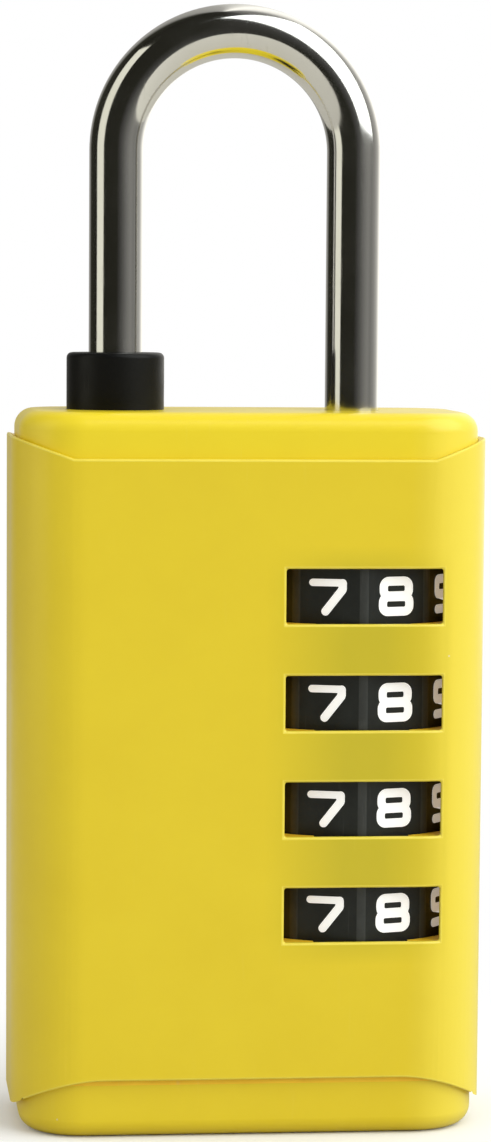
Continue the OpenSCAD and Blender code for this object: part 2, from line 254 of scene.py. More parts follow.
def bevel(piece: Piece, width: float, segments: int, **options: object) -> None:
    """Bevels the selected edges of a piece.

    Args:
        piece: The piece.
        width: The distance from an edge at which its bevel starts.
        segments: The number of strips across the bevel.
        **options: The operator's other settings.
    """
    settings = {"offset_type": "OFFSET", "profile": 0.5, "affect": "EDGES", **options}
    step = partial(bpy.ops.mesh.bevel, offset=width, segments=segments, **settings)
    edit(piece, SelectBy.EDGES, step)


def upright(a: Vector, b: Vector) -> bool:
    """Tests whether an edge climbs."""
    return abs(a.z - b.z) > NEAR


def at_height(height: float) -> Pick:
    """Makes the test that an edge lies at a height."""
    return lambda a, b: abs(a.z - height) < NEAR and abs(b.z - height) < NEAR


def round_edges(piece: Piece, pick: Pick, radius: float, segments: int) -> None:
    """Rounds the edges whose two ends pass a test, by a radius in so many strips."""
    select_edges(piece, pick)
    bevel(piece, radius, segments)


def combine(piece: Piece, tool: Piece, how: Blend) -> None:
    """Cuts away or adds a tool's solid, and removes the tool.

    Args:
        piece: The piece that is changed.
        tool: The solid that acts on it.
        how: The way it acts.
    """
    activate(piece)
    step = piece.modifiers.new("combine", "BOOLEAN")
    step.operation = how.value
    step.solver = "EXACT"
    step.object = tool
    bpy.ops.object.modifier_apply(modifier=step.name)
    bpy.data.objects.remove(tool)


def merge_and_face_out(piece: Piece) -> None:
    """Merges doubled points and turns every face outwards."""
    select_all = partial(bpy.ops.mesh.select_all, action="SELECT")
    merge = partial(bpy.ops.mesh.remove_doubles, threshold=DOUBLED)
    face_out = partial(bpy.ops.mesh.normals_make_consistent, inside=False)
    for step in (select_all, merge, select_all, face_out):
        edit(piece, SelectBy.FACES, step)


def open_slots(piece: Piece, count: int) -> None:
    """Gives a piece at least this many material slots, without touching its faces."""
    while len(piece.data.materials) < count:
        piece.data.materials.append(None)


def break_edges(
    piece: Piece, width: float, segments: int = 3, slot: int = -1, pick: Pick | None = None
) -> None:
    """Breaks the sharp edges of a piece.

    Args:
        piece: The piece.
        width: The width of the broken edge.
        segments: The number of strips across it.
        slot: The material slot of the new faces, or -1 for that of their neighbours.
        pick: The test that a broken edge's two ends pass. Without it every sharp edge is
            broken, by less than the width where there is no room.
    """
    open_slots(piece, slot + 1)
    mesh = piece.data
    beside: dict[tuple[int, int], list[Vector]] = {}
    for face in mesh.polygons:
        for key in face.edge_keys:
            beside.setdefault(key, []).append(face.normal.copy())
    select_edges(piece, pick or (lambda start, end: True))
    for edge in mesh.edges:
        sides = beside.get(edge.key, [])
        sharp = len(sides) == 2 and sides[0].angle(sides[1], 0.0) > math.radians(SHARP)
        edge.select = edge.select and sharp
    bevel(piece, width, segments, clamp_overlap=pick is None, material=slot)


def shade(piece: Piece, angle: float = 30.0) -> None:
    """Smooths a piece's shading up to an angle and weights its normals by face area."""
    activate(piece)
    bpy.ops.object.shade_smooth_by_angle(angle=math.radians(angle))
    step = piece.modifiers.new("normals", "WEIGHTED_NORMAL")
    step.keep_sharp = True
    bpy.ops.object.modifier_apply(modifier=step.name)


def join(pieces: Sequence[Piece], name: str) -> Piece:
    """Joins several objects into the first one.

    Args:
        pieces: The objects.
        name: The name of the joined object.

    Returns:
        The joined object.
    """
    activate(pieces[0])
    for piece in pieces:
        piece.select_set(True)
    bpy.ops.object.join()
    return rename(pieces[0], name)


def copy_piece(piece: Piece, name: str, shift: Vector) -> Piece:
    """Copies a piece with its own mesh, moved by a shift that goes into the mesh.

    Args:
        piece: The piece to copy.
        name: The copy's name.
        shift: How far the copy lies from the piece.

    Returns:
        The copy.
    """
    twin = piece.copy()
    twin.data = piece.data.copy()
    twin.data.transform(Matrix.Translation(shift))
    return link(rename(twin, name))


def copy_coil(node: str, name: str) -> Piece:
    """Copies a CAD spring as one closed mesh, which can then change its length.

    Args:
        node: The spring's CAD node.
        name: The copy's name.

    Returns:
        The copy.
    """
    coil = link(bpy.data.objects.new(name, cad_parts[node].data.copy()))
    merge_and_face_out(coil)
    shade(coil)
    return coil


def hand_over(
    piece: Piece,
    body: str | None,
    nodes: Iterable[str],
    finishes: Sequence["Finish"],
) -> None:
    """Dresses a new piece and gives it to the frame.

    Args:
        piece: The piece.
        body: The CAD body that it rides on, or None for a piece that rides on none.
        nodes: The CAD nodes that it stands for.
        finishes: One finish for each of its material slots.
    """
    open_slots(piece, len(finishes))
    for index, finish in enumerate(finishes):
        piece.data.materials[index] = finish.material()
    if body:
        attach(piece, body)
    for node in nodes:
        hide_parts(node)
    LOG.info("%s rides on %s with %d faces", piece.name, body or "two", len(piece.data.polygons))


# ---------------------------------------------------------------------------- node trees


class Graph:
    """Adds nodes to a tree and links them."""

    def __init__(self, tree: bpy.types.NodeTree) -> None:
        """Starts with a tree to build in."""
        self.tree = tree

    def add(self, kind: str, values: dict | None = None, **settings: object) -> bpy.types.Node:
        """Adds one node.

        Args:
            kind: The node's type.
            values: A value or an output socket for each input, by name or index.
            **settings: The node's own properties.

        Returns:
            The node.
        """
        node = self.tree.nodes.new(kind)
        for name, value in settings.items():
            setattr(node, name, value)
        for key, value in (values or {}).items():
            if isinstance(value, Socket):
                self.tree.links.new(value, node.inputs[key])
            else:
                node.inputs[key].default_value = value
        return node

    def link(self, source: Socket, target: Socket) -> None:
        """Links an output to an input."""
        self.tree.links.new(source, target)

    def math(self, operation: str, a: object, b: object = 0.0, clamp: bool = False) -> Socket:
        """Adds a Math node and returns its output."""
        node = self.add("ShaderNodeMath", {0: a, 1: b}, operation=operation, use_clamp=clamp)
        return node.outputs[0]

    def vector(self, operation: str, a: Socket, b: object = (0, 0, 0)) -> Socket:
        """Adds a Vector Math node and returns its vector."""
        return self.add("ShaderNodeVectorMath", {0: a, 1: b}, operation=operation).outputs[0]

    def remap(
        self, value: object, low: float, high: float, to_low: float = 0.0, to_high: float = 1.0
    ) -> Socket:
        """Adds a clamped Map Range node and returns its output."""
        range_ = {"From Min": low, "From Max": high, "To Min": to_low, "To Max": to_high}
        return self.add("ShaderNodeMapRange", {"Value": value, **range_}).outputs["Result"]

    def mix_color(self, amount: object, a: object, b: object) -> Socket:
        """Adds a colour Mix node and returns its output."""
        return self.add("ShaderNodeMix", {0: amount, 6: a, 7: b}, data_type="RGBA").outputs[2]

    def effect(self, effect: "Effect", **values: object) -> Socket:
        """Adds an effect's group with its own values and returns its mask."""
        return self.add("ShaderNodeGroup", values, node_tree=effect.group()).outputs[0]


@dataclass(frozen=True)
class Effect:
    """A shader node group that puts out one mask, built once for all materials.

    Attributes:
        name: The group's name.
        inputs: The usual value of each input: a number, or a tuple or None for a vector.
        nodes: Builds the nodes from the group's input sockets and returns the mask.
    """

    name: str
    inputs: dict[str, object]
    nodes: Callable[[Graph, dict[str, Socket]], Socket]

    def group(self) -> bpy.types.NodeTree:
        """Builds the group once and returns it."""
        if self.name in bpy.data.node_groups:
            return bpy.data.node_groups[self.name]
        tree = bpy.data.node_groups.new(self.name, "ShaderNodeTree")
        for label, value in self.inputs.items():
            kind = "NodeSocketFloat" if isinstance(value, float) else "NodeSocketVector"
            socket = tree.interface.new_socket(label, in_out="INPUT", socket_type=kind)
            if value is not None:
                socket.default_value = value
        tree.interface.new_socket("Mask", in_out="OUTPUT", socket_type="NodeSocketFloat")
        graph = Graph(tree)
        start, end = graph.add("NodeGroupInput"), graph.add("NodeGroupOutput")
        graph.link(self.nodes(graph, start.outputs), end.inputs["Mask"])
        return tree


def mottle(graph: Graph, given: dict[str, Socket]) -> Socket:
    """Builds the soft blotches that vary a colour or a gloss over a surface."""
    values = {name: given[name] for name in ("Vector", "Scale", "Detail")}
    noise = graph.add("ShaderNodeTexNoise", {**values, "Roughness": 0.6})
    centred = graph.math("SUBTRACT", noise.outputs["Fac"], 0.5)
    spread = graph.math("MULTIPLY", centred, given["Contrast"])
    return graph.math("ADD", spread, 0.5, clamp=True)


def scratches(graph: Graph, given: dict[str, Socket]) -> Socket:
    """Builds fine hairline scratches that run along one direction, broken up by noise."""
    lines = graph.add(
        "ShaderNodeMapping", {"Vector": given["Vector"], "Scale": given["Stretch"]}
    ).outputs[0]
    values = {"Vector": lines, "Scale": given["Scale"], "Detail": 3.0, "Roughness": 0.7}
    noise = graph.add("ShaderNodeTexNoise", values).outputs["Fac"]
    values = {"Vector": given["Vector"], "Scale": 350.0, "Detail": 2.0}
    gaps = graph.add("ShaderNodeTexNoise", values).outputs["Fac"]
    found = graph.math("MULTIPLY", graph.remap(noise, 0.6, 0.72), graph.remap(gaps, 0.45, 0.65))
    return graph.math("MULTIPLY", found, given["Amount"], clamp=True)


def specks(graph: Graph, given: dict[str, Socket]) -> Socket:
    """Builds small scattered specks of dust and tiny pits."""
    values = {name: given[name] for name in ("Vector", "Scale")}
    cells = graph.add("ShaderNodeTexVoronoi", values)
    dot = graph.math("LESS_THAN", cells.outputs["Distance"], given["Size"])
    lot = graph.add("ShaderNodeSeparateColor", {"Color": cells.outputs["Color"]}).outputs[0]
    return graph.math("MULTIPLY", dot, graph.math("LESS_THAN", lot, given["Share"]))


def patch(graph: Graph, given: dict[str, Socket]) -> Socket:
    """Builds a soft-edged box that marks a place."""
    away = graph.vector("ABSOLUTE", graph.vector("SUBTRACT", given["Vector"], given["Center"]))
    away = graph.vector("SUBTRACT", given["Reach"], away)
    depth = graph.vector("DIVIDE", away, given["Soft"])
    inside = graph.add("ShaderNodeSeparateXYZ", {0: depth})
    masks = [graph.math("ADD", socket, 0.5, clamp=True) for socket in inside.outputs]
    return graph.math("MULTIPLY", graph.math("MULTIPLY", masks[0], masks[2]), masks[1])


MOTTLE = Effect("mottle", {"Vector": None, "Scale": 200.0, "Detail": 4.0, "Contrast": 2.0}, mottle)
SCRATCHES = Effect(
    "scratches",
    {"Vector": None, "Stretch": (1.0, 1.0, 0.05), "Scale": 2500.0, "Amount": 0.5},
    scratches,
)
SPECKS = Effect("specks", {"Vector": None, "Scale": 900.0, "Size": 0.06, "Share": 0.1}, specks)
PATCH = Effect(
    "patch", {"Vector": None, "Center": (0.0,) * 3, "Reach": (1.0,) * 3, "Soft": (1.0,) * 3}, patch
)


def new_graph(holder: bpy.types.Material | bpy.types.World) -> Graph:
    """Empties the node tree of a material or a world and returns a graph to build in it."""
    holder.use_nodes = True
    holder.node_tree.nodes.clear()
    return Graph(holder.node_tree)


# ---------------------------------------------------------------------------- finishes

DUST = (0.75, 0.73, 0.68)


@dataclass(frozen=True)
class Finish:
    """A procedural finish: two near colours, a gloss range, a grain and fine wear, and in some a
    painted sheen, shade or glow.

    Attributes:
        name: The material's name.
        color: The main colour.
        shade: The colour that the blotches lean to.
        gloss: The lowest and highest roughness.
        metal: The metallic value.
        blotch: The blotches for each metre.
        grain: The bumps of the grain for each metre.
        relief: The height of the grain.
        scratch: How strongly the hairline scratches show.
        scratch_color: The colour in a scratch.
        dust: The share of cells with a speck.
        coat: The weight of a clear coat.
        shine: The level of the plain specular reflection.
        painted_glow: A painted glow: the share of its own colour that it gives off as light,
            standing in for light that the window recesses keep from ink.
        painted_sheen: A painted sheen: the paler colour that the paint leans to on the key light's
            side, if it shows.
        painted_dial_shade: A painted shade: the darker colour that the front round and between the
            dial windows leans to, if it shows.
        stretch: The stretch of the scratches along X, Y and Z.
    """

    name: str
    color: Color
    shade: Color
    gloss: tuple[float, float]
    metal: float = 0.0
    blotch: float = 160.0
    grain: float = 3000.0
    relief: float = 0.004 * MM
    scratch: float = 0.3
    scratch_color: Color = (0.5, 0.5, 0.5)
    dust: float = 0.0
    coat: float = 0.0
    shine: float = 0.5
    painted_glow: float = 0.0
    painted_sheen: Color | None = None
    painted_dial_shade: Color | None = None
    stretch: tuple[float, float, float] = (1.0, 1.0, 0.05)

    def material(self) -> bpy.types.Material:
        """Builds the material once and returns it."""
        if self.name in bpy.data.materials:
            return bpy.data.materials[self.name]
        made = bpy.data.materials.new(self.name)
        graph = new_graph(made)
        place = graph.add("ShaderNodeTexCoord").outputs["Object"]
        blotch = graph.effect(MOTTLE, Vector=place, Scale=self.blotch, Detail=4.0, Contrast=2.4)
        grain = graph.effect(MOTTLE, Vector=place, Scale=self.grain, Detail=2.0, Contrast=1.6)
        scratch = graph.effect(SCRATCHES, Vector=place, Stretch=self.stretch, Amount=self.scratch)
        speck = graph.effect(SPECKS, Vector=place, Share=self.dust)

        color = graph.mix_color(blotch, (*self.color, 1), (*self.shade, 1))
        color = self.paint_sheen_and_shade(graph, place, color)
        color = graph.mix_color(scratch, color, (*self.scratch_color, 1))
        color = graph.mix_color(graph.math("MULTIPLY", speck, 0.5), color, (*DUST, 1))
        gloss = graph.remap(blotch, 0.0, 1.0, *self.gloss)
        gloss = graph.math("ADD", gloss, graph.math("MULTIPLY", scratch, 0.25), clamp=True)
        height = graph.math("SUBTRACT", grain, graph.math("MULTIPLY", scratch, 0.6))
        bumps = {"Strength": 1.0, "Distance": self.relief, "Height": height}
        values = {
            "Base Color": color,
            "Roughness": gloss,
            "Metallic": self.metal,
            "Coat Weight": self.coat,
            "Coat Roughness": 0.25,
            "Specular IOR Level": self.shine,
            "Normal": graph.add("ShaderNodeBump", bumps).outputs[0],
        }
        # A painted glow: the colour is given off as light.
        if self.painted_glow:
            values |= {"Emission Color": color, "Emission Strength": self.painted_glow}
        surface = graph.add("ShaderNodeBsdfPrincipled", values)
        graph.add("ShaderNodeOutputMaterial", {"Surface": surface.outputs[0]})
        made.diffuse_color = (*self.color, 1)
        return made

    def paint_sheen_and_shade(self, graph: Graph, place: Socket, color: Socket) -> Socket:
        """Adds the painted sheen on the key light's side and the painted shade round the dials to
        a colour, where the finish has them.

        Args:
            graph: The material's graph.
            place: The place on the piece.
            color: The colour without them.

        Returns:
            The colour with them.
        """
        low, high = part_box("outer_sleeve")
        # Painted sheen: the side towards the key light is made paler, standing in for the light
        # that falls on it.
        if self.painted_sheen:
            # A metre along Y and Z takes in the whole side.
            reach, soft = (2.8 * MM, 1.0, 1.0), (5 * MM, 1.0, 1.0)
            pale = graph.effect(PATCH, Vector=place, Center=(high.x, 0, 0), Reach=reach, Soft=soft)
            color = graph.mix_color(pale, color, (*self.painted_sheen, 1))
        # Painted shade: the front round and between the dial windows is darkened, standing in for
        # the shade that falls there.
        if self.painted_dial_shade:
            foot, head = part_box("dial_4")[0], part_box("dial_1")[1]
            spot, half = (foot + head) / 2, (head - foot) / 2
            center = (spot.x, low.y, spot.z)
            reach = (half.x * 0.55, 0.4 * MM, half.z - 0.2 * MM)
            soft = (5 * MM, 0.2 * MM, 2.2 * MM)
            dial_shade_mask = graph.effect(PATCH, Vector=place, Center=center, Reach=reach, Soft=soft)
            color = graph.mix_color(dial_shade_mask, color, (*self.painted_dial_shade, 1))
        return color


YELLOW_PAINT = Finish(
    name="satin_yellow",
    color=(0.785, 0.60, 0.017),
    shade=(0.76, 0.572, 0.013),
    gloss=(0.34, 0.44),
    relief=0.003 * MM,
    scratch=0.12,
    scratch_color=(0.83, 0.68, 0.10),
    dust=0.012,
    coat=0.3,
    shine=0.35,
    # A painted sheen on the key light's side and a painted shade round the dials.
    painted_sheen=(0.83, 0.68, 0.075),
    painted_dial_shade=(0.58, 0.47, 0.014),
)
# Painted light: the top cap's paint is lighter than the sleeve's, standing in for the light from
# above that falls on the top.
LIT_TOP_CAP_PAINT = replace(
    YELLOW_PAINT,
    name="satin_yellow_lit_top",
    color=(0.85, 0.665, 0.014),
    shade=(0.82, 0.63, 0.011),
    painted_dial_shade=None,
)
# Worn paint on the broken edges, made lighter than the paint so that it is also a painted
# highlight along the sleeve's edges, the window rims and the caps' rims.
WORN_AND_HIGHLIT_EDGE = Finish(
    name="worn_and_highlit_yellow_edge",
    color=(0.84, 0.70, 0.075),
    shade=(0.80, 0.64, 0.05),
    gloss=(0.26, 0.4),
    blotch=420.0,
    relief=0.002 * MM,
    scratch=0.2,
    scratch_color=(0.86, 0.74, 0.2),
    coat=0.15,
)
# Painted light: the casting's yellow is brighter than the sleeve's paint, standing in for light
# that hardly reaches the ledges seen through the windows.
LIT_CASTING_PAINT = Finish(
    name="lit_yellow_casting",
    color=(0.95, 0.62, 0.022),
    shade=(0.90, 0.54, 0.018),
    gloss=(0.4, 0.6),
    blotch=500.0,
    grain=1800.0,
    relief=0.012 * MM,
    scratch=0.15,
)
CHROME = Finish(
    name="polished_chrome",
    color=(0.80, 0.79, 0.77),
    shade=(0.76, 0.75, 0.72),
    gloss=(0.07, 0.14),
    metal=1.0,
    blotch=300.0,
    grain=1500.0,
    relief=0.0006 * MM,
    scratch=0.4,
    scratch_color=(0.5, 0.48, 0.45),
)
DIAL_PLASTIC = Finish(
    name="black_dial",
    color=(0.013, 0.0155, 0.0135),
    shade=(0.0075, 0.009, 0.008),
    gloss=(0.36, 0.5),
    shine=0.4,
    blotch=600.0,
    grain=5200.0,
    relief=0.006 * MM,
    scratch=0.35,
    scratch_color=(0.07, 0.07, 0.068),
    dust=0.03,
)
# Painted highlight: the dials' ridges and rims are a lighter black, standing in for the light that
# their rounding catches; the scratches on them are wear.
DIAL_RIDGE_HIGHLIGHT = Finish(
    name="highlit_dial_ridge",
    color=(0.036, 0.039, 0.036),
    shade=(0.024, 0.026, 0.024),
    gloss=(0.3, 0.42),
    blotch=900.0,
    grain=5200.0,
    relief=0.004 * MM,
    scratch=0.5,
    scratch_color=(0.12, 0.12, 0.118),
)
DIGIT_INK = Finish(
    name="white_ink",
    color=(0.97, 0.97, 0.97),
    shade=(0.94, 0.94, 0.94),
    # Painted glow: the ink gives off a little light, standing in for the light that the windows
    # keep from the digits.
    painted_glow=0.22,
    gloss=(0.45, 0.6),
    blotch=1200.0,
    grain=6000.0,
    relief=0.004 * MM,
    scratch=0.1,
    scratch_color=(0.6, 0.6, 0.58),
)
COLLAR_PLASTIC = Finish(
    name="black_collar",
    color=(0.005, 0.005, 0.005),
    shade=(0.003, 0.003, 0.003),
    gloss=(0.34, 0.46),
    shine=0.22,
    blotch=700.0,
    grain=4200.0,
    relief=0.006 * MM,
    scratch=0.25,
    scratch_color=(0.06, 0.06, 0.06),
)
CLUTCH_BRASS = Finish(
    name="turned_brass",
    color=(0.72, 0.53, 0.25),
    shade=(0.62, 0.43, 0.18),
    gloss=(0.22, 0.4),
    metal=1.0,
    blotch=400.0,
    grain=2500.0,
    relief=0.002 * MM,
    scratch=0.4,
    scratch_color=(0.8, 0.62, 0.33),
    stretch=(0.05, 0.05, 1.0),
)
SPRING_STEEL = Finish(
    name="bright_steel",
    color=(0.55, 0.55, 0.56),
    shade=(0.45, 0.45, 0.46),
    gloss=(0.25, 0.42),
    metal=1.0,
    blotch=500.0,
    grain=2500.0,
    relief=0.002 * MM,
    scratch=0.4,
    scratch_color=(0.66, 0.66, 0.66),
    stretch=(0.05, 1.0, 1.0),
)


# ---------------------------------------------------------------------------- case


@dataclass
class Case:
    """The painted body: a sleeve over a frame, closed by a cap at each end.

    Attributes:
        corner: The radius of the sleeve's upright corners.
        wall: The sleeve's wall.
        slope: The width and the rise of each sloping corner of the top edge.
        scoop_width: The width of each curved corner of the bottom edge.
        scoop_radius: The radius of those corners.
        foot: The height of the bottom edge in front.
        rim: The rounding of both caps' outer rims.
        edge: The width of the sleeve's broken edges.
        sharp_tips: The height over which the ends of its bottom edge stay sharp.
        cap_edge: The width of the broken edge round a cap's face.
        window: The width and the height of a window.
        tongue: Half the width and half the depth of a cap's tongue.
        tongue_length: How far a tongue reaches into the frame.
        tongue_root: How far its root is sunk into the cap.
        tongue_inset: How far a tongue's middle lies inside the cap's end.
        heel_bore: The radius of the top cap's hole for the captive leg.
        toe_bore: The radius of its hole for the collar's stem.
        spring_bore: The radius of the bottom cap's pit for the lifting spring.
        spring_seat: The height of that pit's floor.
    """

    corner: float = 4.5 * MM
    wall: float = 0.45 * MM
    slope: tuple[float, float] = (3.7 * MM, 1.3 * MM)
    scoop_width: float = 5.7 * MM
    scoop_radius: float = 9.0 * MM
    foot: float = 3.74 * MM
    rim: float = 1.2 * MM
    edge: float = 0.16 * MM
    sharp_tips: float = 0.5 * MM
    cap_edge: float = 0.1 * MM
    window: tuple[float, float] = (9.9 * MM, 3.45 * MM)
    tongue: tuple[float, float] = (1.1 * MM, 2.5 * MM)
    tongue_length: float = 2.0 * MM
    tongue_root: float = 0.5 * MM
    tongue_inset: float = 2.15 * MM
    heel_bore: float = 1.8 * MM
    toe_bore: float = 2.52 * MM
    spring_bore: float = 2.0 * MM
    spring_seat: float = 1.6 * MM

    def build(self) -> None:
        """Builds the sleeve and both caps, and dresses the frame and its pins."""
        self.sleeve()
        self.cap("top_cap", up=True)
        self.cap("bottom_cap", up=False)
        for node in ("front_frame", "rear_frame"):
            dress(node, LIT_CASTING_PAINT)
        for node in ("top_cap_pins", "bottom_cap_pins"):
            dress(node, SPRING_STEEL)

    def tube(self, name: str, shrink: float, low: float, high: float) -> Piece:
        """Makes a solid of the sleeve's plan.

        Args:
            name: The solid's name.
            shrink: How far it lies inside the sleeve's outer face.
            low: Its lowest height.
            high: Its highest height.

        Returns:
            The solid.
        """
        near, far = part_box("outer_sleeve")
        low_corner = (near.x + shrink, near.y + shrink, low)
        solid = add_block(name, low_corner, (far.x - shrink, far.y - shrink, high))
        round_edges(solid, upright, self.corner - shrink, 16)
        return solid

    def sleeve(self) -> None:
        """Builds the sleeve with its sloping top edge, scooped bottom edge and four windows."""
        low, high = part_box("outer_sleeve")
        sleeve = self.tube("sleeve", 0.0, low.z, high.z)
        combine(sleeve, self.tube("hollow", self.wall, low.z - MM, high.z + MM), Blend.CUT)
        combine(sleeve, self.top_notch(high), Blend.CUT)
        combine(sleeve, self.bottom_notch(high.x), Blend.CUT)
        combine(sleeve, self.window_cutter(low.y), Blend.CUT)
        tips = low.z + self.sharp_tips
        break_edges(sleeve, self.edge, slot=1, pick=lambda a, b: min(a.z, b.z) > tips)
        shade(sleeve)
        # The broken edges take the worn paint with its painted highlight.
        hand_over(sleeve, "case", ["outer_sleeve"], [YELLOW_PAINT, WORN_AND_HIGHLIT_EDGE])

    def top_notch(self, high: Vector) -> Piece:
        """Makes the trapezoid that lowers the top edge between its two slopes."""
        width, rise = self.slope
        above = 3 * MM
        flat = high.x - width
        reach = flat + (rise + above) * width / rise
        base = high.z - rise
        notch = add_block("top_notch", (-flat, -CLEAR, base), (flat, CLEAR, high.z + above))
        select_faces(notch, lambda centre, normal: normal.z > 0.9)
        widen = partial(bpy.ops.transform.resize, value=(reach / flat, 1, 1))
        edit(notch, SelectBy.FACES, widen)
        return notch

    def bottom_notch(self, half_width: float) -> Piece:
        """Makes the round-shouldered block that scoops out the bottom edge."""
        reach = half_width - self.scoop_width + self.scoop_radius
        depth = 2 * self.scoop_radius
        notch = add_block(
            "bottom_notch", (-reach, -CLEAR, self.foot - depth), (reach, CLEAR, self.foot)
        )
        top = self.foot - NEAR

        def on_shoulder(a: Vector, b: Vector) -> bool:
            """Tests whether an edge is one of the two upper ones along Y."""
            return min(a.z, b.z) > top and abs(a.y - b.y) > NEAR

        round_edges(notch, on_shoulder, self.scoop_radius, 40)
        return notch

    def window_cutter(self, front: float) -> Piece:
        """Makes one block for each window and joins them."""
        width, height = self.window
        blocks = []
        for index in range(1, Dials.count + 1):
            x, _, z = middle(f"dial_{index}")
            low = (x - width / 2, front - MM, z - height / 2)
            high = (x + width / 2, front + 2 * self.wall, z + height / 2)
            blocks.append(add_block(f"window_{index}", low, high))
        return join(blocks, "windows")

    def cap(self, node: str, up: bool) -> None:
        """Builds one end cap: a slab with a rounded rim, its bores and its two tongues.

        Args:
            node: The CAD node that it stands for.
            up: Whether its rim faces up.
        """
        low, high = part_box(node)
        outer, inner = (high.z, low.z) if up else (low.z, high.z)
        side = 1 if up else -1
        seat = inner + side * self.tongue_length
        foot, head = sorted((outer, seat))
        name = node.replace("_cap", "_end")
        slab = add_block(name, (low.x, low.y, foot), (high.x, high.y, head))
        corner = self.corner - (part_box("outer_sleeve")[1].x - high.x)
        round_edges(slab, upright, corner, 20)
        round_edges(slab, at_height(outer), self.rim, 10)
        half_x, half_y = self.tongue
        foot, head = sorted((inner, seat + side * self.tongue_root))
        for x in (low.x + self.tongue_inset, high.x - self.tongue_inset):
            block = add_block("tongue", (x - half_x, -half_y, foot), (x + half_x, half_y, head))
            combine(slab, block, Blend.ADD)
            pin_low, pin_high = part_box(f"{node}_pins")
            across = (pin_high.z - pin_low.z) / 2
            pin_foot, pin_head = pin_low.z - NEAR, pin_high.z + NEAR
            pin = add_pin("pin", (x - across, low.y, pin_foot), (x + across, high.y, pin_head))
            combine(slab, pin, Blend.CUT)
        heel_x, toe_x = middle("dial_1")[0], middle("toe_collar")[0]
        deep, through = seat - 2 * MM, 8 * MM
        bores = ((heel_x, deep, self.heel_bore, through), (toe_x, deep, self.toe_bore, through))
        if not up:
            bores = ((heel_x, self.spring_seat, self.spring_bore, through / 2),)
        for x, start, radius, length in bores:
            combine(slab, add_rod("bore", (x, 0, start), radius, length), Blend.CUT)
        break_edges(slab, self.cap_edge, segments=2, slot=1, pick=at_height(outer))
        shade(slab)
        # Painted light: the top cap gets the lighter paint, for the light from above.
        paint = LIT_TOP_CAP_PAINT if up else YELLOW_PAINT
        hand_over(slab, "case", [node], [paint, WORN_AND_HIGHLIT_EDGE])


def dress(node: str, finish: Finish) -> None:
    """Gives a CAD node's object a procedural finish in place of its plain one."""
    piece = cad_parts[node]
    open_slots(piece, 1)
    for index in range(len(piece.data.materials)):
        piece.data.materials[index] = finish.material()
    LOG.info("%s keeps its CAD shape with the finish %s", node, finish.name)


# ---------------------------------------------------------------------------- collar


@dataclass
class Collar:
    """The black collar that the free leg of the shackle drops into.

    Attributes:
        bore: The radius of the hole for the leg.
        round_top: The rounding of the outer rim.
        flare: The width of the flared mouth.
        stem: The radius of the part inside the top cap.
        edge: The width of the other broken edges.
    """

    bore: float = 1.85 * MM
    round_top: float = 0.35 * MM
    flare: float = 0.5 * MM
    stem: float = 2.5 * MM
    edge: float = 0.06 * MM

    def build(self) -> None:
        """Builds the collar with its rim, mouth and stem."""
        low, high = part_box("toe_collar")
        top_of_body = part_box("top_cap")[1].z
        x, radius = middle("toe_collar")[0], (high.x - low.x) / 2
        collar = add_rod("collar", (x, 0, top_of_body), radius, high.z - top_of_body)
        stem = add_rod("stem", (x, 0, low.z), self.stem, high.z - MM - low.z)
        combine(collar, stem, Blend.ADD)
        bore = add_rod("bore", (x, 0, low.z - MM), self.bore, high.z - low.z + 2 * MM)
        combine(collar, bore, Blend.CUT)
        axis = Vector((x, 0))
        top = high.z - NEAR

        def at_top(start: Vector, end: Vector, reach: float) -> bool:
            """Tests whether an edge is on the upper ring of a radius."""
            on_ring = abs((start.xy - axis).length - reach) < NEAR * 2
            return start.z > top and end.z > top and on_ring

        round_edges(collar, lambda a, b: at_top(a, b, radius), self.round_top, 6)
        round_edges(collar, lambda a, b: at_top(a, b, self.bore), self.flare, 5)
        break_edges(collar, self.edge, segments=2)
        shade(collar)
        hand_over(collar, "case", ["toe_collar"], [COLLAR_PLASTIC])


# ---------------------------------------------------------------------------- shackle


